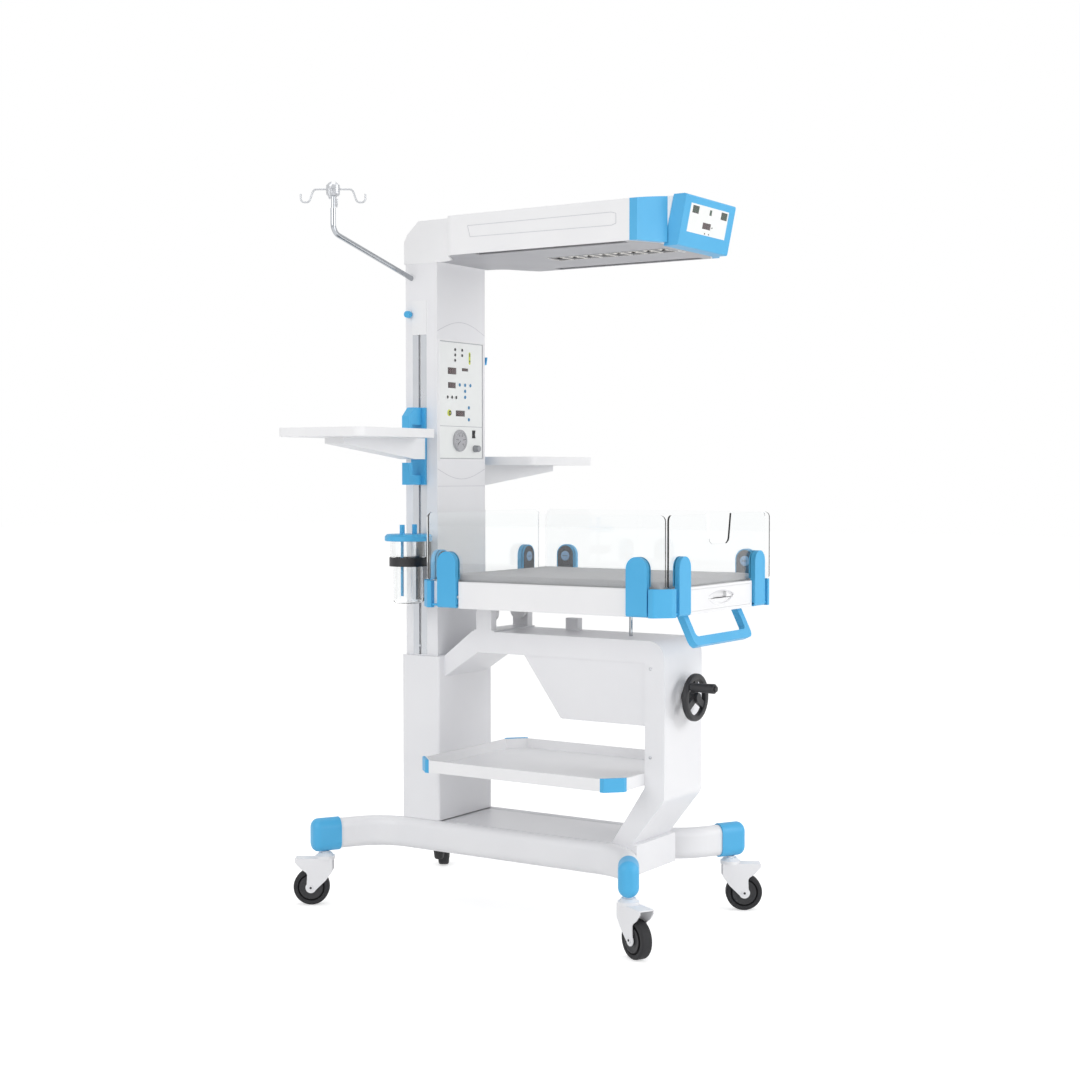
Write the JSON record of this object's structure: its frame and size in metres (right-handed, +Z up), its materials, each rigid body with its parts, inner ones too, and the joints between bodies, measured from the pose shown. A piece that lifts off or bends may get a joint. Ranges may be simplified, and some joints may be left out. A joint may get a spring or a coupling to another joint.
{
  "type": "infant radiant warmer",
  "caption": "Open infant care bed on a castor base, with an overhead radiant heater on a column, clear fold-down panels, a tilting bed, trays, an infusion pole and a suction jar.",
  "frame": {"origin": "floor point midway between the four castor stems, on the mid-plane of the bed and column", "axes": "+Z up along the column, +Y from the bed's front edge to the column, +X to the right of someone who stands at the front and faces the column"},
  "size_m": [1.017, 1.1867, 1.968],
  "materials": {
    "white_paint": "semi-gloss powder coat",
    "white_plastic": "fine satin moulding",
    "blue_plastic": "satin moulding",
    "black_plastic": "satin moulding",
    "grey_plastic": "matt moulding",
    "wheel_rubber": "matt",
    "rail_aluminium": "satin anodised",
    "bright_chrome": "polished",
    "reflector_steel": "polished inside",
    "clear_acrylic": "clear, polished edges",
    "mattress_cover": "smooth wipe-clean cover",
    "screen_film": "gloss film with dark windows"
  },
  "bodies": {
    "base": {"base_beam_left": "white_paint", "base_beam_right": "white_paint", "base_deck": "white_paint", "beam_end_caps": "blue_plastic", "bed_supports": "white_paint", "c_frame": "white_paint", "cable_hook": "blue_plastic", "controller_case": "white_plastic", "controller_panel": "screen_film", "display_housing": "blue_plastic", "display_screen": "screen_film", "head_corner_caps": "blue_plastic", "head_housing": "white_plastic", "head_underside": "grey_plastic", "heater_module": "reflector_steel", "iv_pole": "bright_chrome", "jar_bracket": "grey_plastic", "jar_holder": "black_plastic", "jar_lid": "blue_plastic", "lower_shroud": "white_paint", "mast": "white_paint", "pressure_gauge": "grey_plastic", "rail_end_covers": "white_plastic", "shelf_corner_guards": "blue_plastic", "side_rails": "rail_aluminium", "storage_shelf": "white_plastic", "suction_jar": "clear_acrylic", "tilt_housing": "white_paint"},
    "bed": {"bed_tray": "white_plastic", "mattress": "mattress_cover", "corner_blocks": "blue_plastic", "panel_rear": "clear_acrylic", "panel_arms_rear": "blue_plastic", "push_handle": "blue_plastic"},
    "drawer": {"xray_drawer": "white_plastic"},
    "side_left": {"panel_left": "clear_acrylic", "panel_arms_left": "blue_plastic"},
    "side_right": {"panel_right": "clear_acrylic", "panel_arms_right": "blue_plastic"},
    "end_front": {"panel_front": "clear_acrylic", "panel_arms_front": "blue_plastic"},
    "rod": {"tilt_rod": "bright_chrome"},
    "tilt_wheel": {"handwheel": "black_plastic"},
    "tilt_grip": {"crank_handle": "black_plastic"},
    "tray_l": {"tray_clamp_left": "blue_plastic", "tray_left": "white_plastic"},
    "tray_r": {"tray_clamp_right": "blue_plastic", "tray_right": "white_plastic"},
    "hooks": {"iv_hook_head": "white_plastic"},
    "pole_knob": {"iv_clamp_knob": "blue_plastic"},
    "suction_knob": {"flow_knob": "black_plastic"},
    "rocker": {"power_switch": "black_plastic"},
    "fork_fl": {"caster_fork_fl": "white_paint"},
    "wheel_fl": {"caster_wheel_fl": "wheel_rubber"},
    "fork_fr": {"caster_fork_fr": "white_paint"},
    "wheel_fr": {"caster_wheel_fr": "wheel_rubber"},
    "fork_rl": {"caster_fork_rl": "white_paint"},
    "wheel_rl": {"caster_wheel_rl": "wheel_rubber"},
    "fork_rr": {"caster_fork_rr": "white_paint"},
    "wheel_rr": {"caster_wheel_rr": "wheel_rubber"}
  },
  "joints": [
    {"name": "caster_swivel_fl", "type": "hinge", "parent": "base", "child": "fork_fl", "pos_m": [-0.28, -0.49, 0.131], "axis": [0, 0, 1], "continuous": true},
    {"name": "caster_roll_fl", "type": "hinge", "parent": "fork_fl", "child": "wheel_fl", "pos_m": [-0.29725, -0.52386, 0.05], "axis": [0.891, -0.454, 0], "continuous": true},
    {"name": "caster_swivel_fr", "type": "hinge", "parent": "base", "child": "fork_fr", "pos_m": [0.28, -0.49, 0.131], "axis": [0, 0, 1], "continuous": true},
    {"name": "caster_roll_fr", "type": "hinge", "parent": "fork_fr", "child": "wheel_fr", "pos_m": [0.30058, -0.52194, 0.05], "axis": [0.8406, 0.5417, 0], "continuous": true},
    {"name": "caster_swivel_rl", "type": "hinge", "parent": "base", "child": "fork_rl", "pos_m": [-0.28, 0.49, 0.131], "axis": [0, 0, 1], "continuous": true},
    {"name": "caster_roll_rl", "type": "hinge", "parent": "fork_rl", "child": "wheel_rl", "pos_m": [-0.30058, 0.52194, 0.05], "axis": [-0.8406, -0.5417, 0], "continuous": true},
    {"name": "caster_swivel_rr", "type": "hinge", "parent": "base", "child": "fork_rr", "pos_m": [0.28, 0.49, 0.131], "axis": [0, 0, 1], "continuous": true},
    {"name": "caster_roll_rr", "type": "hinge", "parent": "fork_rr", "child": "wheel_rr", "pos_m": [0.31191, 0.51064, 0.05], "axis": [-0.5432, 0.8396, 0], "continuous": true},
    {"name": "bed_tilt", "type": "hinge", "parent": "base", "child": "bed", "pos_m": [0, 0.072, 0.821], "axis": [1, 0, 0], "range_deg": [-10, 5]},
    {"name": "rod_slide", "type": "slide", "parent": "base", "child": "rod", "axis": [0, 0, 1], "range_m": [-0.04, 0.075]},
    {"name": "handwheel_spin", "type": "hinge", "parent": "base", "child": "tilt_wheel", "pos_m": [0, -0.528, 0.621], "axis": [0, 1, 0], "range_deg": [-1280, 640]},
    {"name": "grip_spin", "type": "hinge", "parent": "tilt_wheel", "child": "tilt_grip", "pos_m": [-0.04, -0.57, 0.652], "axis": [0, 1, 0], "continuous": true},
    {"name": "drawer_slide", "type": "slide", "parent": "bed", "child": "drawer", "axis": [0, -1, 0], "range_m": [0, 0.3]},
    {"name": "left_panel_fold", "type": "hinge", "parent": "bed", "child": "side_left", "pos_m": [-0.301, -0.238, 0.858], "axis": [0, -1, 0], "range_deg": [0, 180]},
    {"name": "right_panel_fold", "type": "hinge", "parent": "bed", "child": "side_right", "pos_m": [0.301, -0.238, 0.858], "axis": [0, 1, 0], "range_deg": [0, 180]},
    {"name": "front_panel_fold", "type": "hinge", "parent": "bed", "child": "end_front", "pos_m": [0, -0.604, 0.858], "axis": [1, 0, 0], "range_deg": [0, 165]},
    {"name": "left_tray_slide", "type": "slide", "parent": "base", "child": "tray_l", "axis": [0, 0, 1], "range_m": [-0.1, 0.19]},
    {"name": "right_tray_slide", "type": "slide", "parent": "base", "child": "tray_r", "axis": [0, 0, 1], "range_m": [-0.12, 0.27]},
    {"name": "hook_head_spin", "type": "hinge", "parent": "base", "child": "hooks", "pos_m": [-0.455, 0.307, 1.94], "axis": [0, 0, 1], "continuous": true},
    {"name": "pole_knob_spin", "type": "hinge", "parent": "base", "child": "pole_knob", "pos_m": [-0.126, 0.3095, 1.648], "axis": [-1, 0, 0], "continuous": true},
    {"name": "suction_knob_turn", "type": "hinge", "parent": "base", "child": "suction_knob", "pos_m": [0.066, 0.214, 1.276], "axis": [0, -1, 0], "range_deg": [0, 270]},
    {"name": "power_rocker", "type": "hinge", "parent": "base", "child": "rocker", "pos_m": [0.061, 0.225, 1.317], "axis": [1, 0, 0], "range_deg": [-6, 6]}
  ],
  "couplings": [
    {"joint": "rod_slide", "follows": "bed_tilt", "m_per_rad": -0.406},
    {"joint": "handwheel_spin", "follows": "bed_tilt", "ratio": 127}
  ]
}
